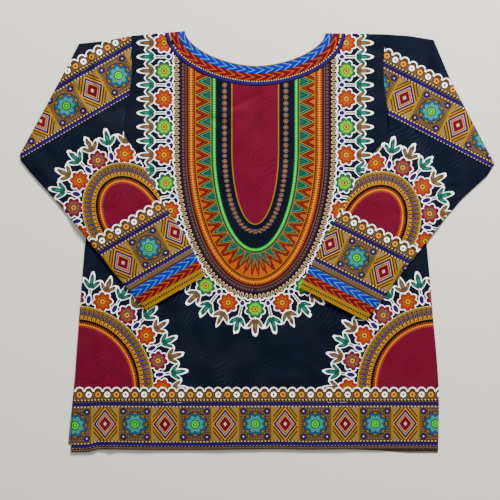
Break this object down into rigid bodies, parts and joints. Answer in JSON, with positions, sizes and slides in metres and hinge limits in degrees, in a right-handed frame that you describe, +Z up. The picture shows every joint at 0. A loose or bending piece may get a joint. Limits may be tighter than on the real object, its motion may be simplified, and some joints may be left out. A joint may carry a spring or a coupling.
{
  "type": "dashiki shirt",
  "caption": "Long-sleeved loose pullover shirt in printed cotton, laid flat and face up, with both sleeves brought in over the front, a round neckline and open side vents.",
  "frame": {"origin": "bottom centre of the shirt's box: on the surface that it lies on, under its middle", "axes": "+X to the right of the front as it is looked down on, +Y from the hem to the neck, +Z up, out of the front"},
  "size_m": [0.854, 0.7591, 0.0092],
  "materials": {
    "printed_cotton": "plain-woven printed cotton, matt, blue-black ground with a multi-coloured border and neck print"
  },
  "bodies": {
    "root": {"back": "printed_cotton", "front": "printed_cotton", "sleeve_left": "printed_cotton", "sleeve_right": "printed_cotton"}
  },
  "joints": []
}
